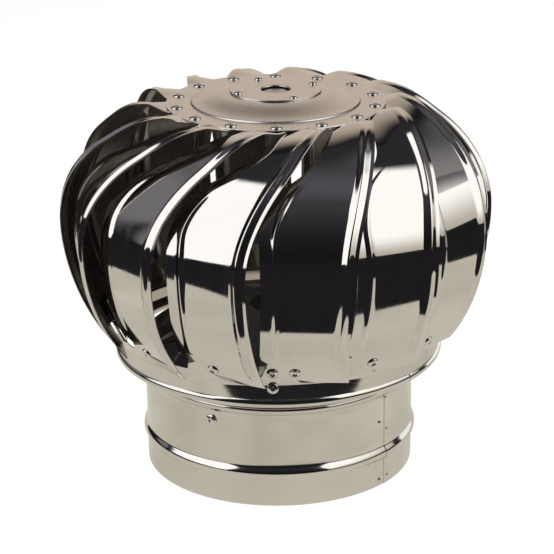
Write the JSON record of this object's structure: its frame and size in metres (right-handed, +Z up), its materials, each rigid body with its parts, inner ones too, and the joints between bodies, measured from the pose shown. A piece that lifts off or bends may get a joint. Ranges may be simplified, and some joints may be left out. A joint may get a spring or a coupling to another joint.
{
  "type": "turbine roof vent",
  "caption": "Wind-driven turbine roof vent: a ball of curved ribbed blades under a round top plate, turning on bearings above a round beaded duct collar.",
  "frame": {"origin": "centre of the collar's lower rim", "axes": "+Z up along the shaft, from the duct collar to the top plate; the picture looks along +Y"},
  "size_m": [0.2398, 0.2382, 0.2151],
  "materials": {
    "collar": "bright polished stainless sheet",
    "ring": "bright polished stainless sheet",
    "blades": "mirror polished stainless sheet",
    "plate": "bright polished stainless sheet",
    "straps": "mill finish strap",
    "spindle": "turned steel",
    "bearing": "ground bearing steel",
    "rivets": "domed pop rivet heads"
  },
  "bodies": {
    "base": {"base_collar": "collar", "base_spider": "straps", "base_spider_rivets": "rivets", "shaft": "spindle", "shaft_washer": "spindle", "shaft_nut": "spindle", "top_nut": "spindle", "shaft_spacer": "spindle", "bearing_inner_rings": "bearing"},
    "rotor": {"bearing_outer_rings": "bearing", "bottom_ring": "ring", "cross_bar": "straps", "cross_bar_rivets": "rivets", "blade_01": "blades", "blade_02": "blades", "blade_03": "blades", "blade_04": "blades", "blade_05": "blades", "blade_06": "blades", "blade_07": "blades", "blade_08": "blades", "blade_09": "blades", "blade_10": "blades", "blade_11": "blades", "blade_12": "blades", "blade_13": "blades", "blade_14": "blades", "blade_rivets": "rivets", "top_plate": "plate", "top_rivets": "rivets", "bearing_housing": "straps", "bearing_cover": "plate", "cover_rivets": "rivets"}
  },
  "joints": [
    {"name": "rotor_spin", "type": "hinge", "parent": "base", "child": "rotor", "pos_m": [0, 0, 0.084], "axis": [0, 0, 1], "continuous": true}
  ]
}
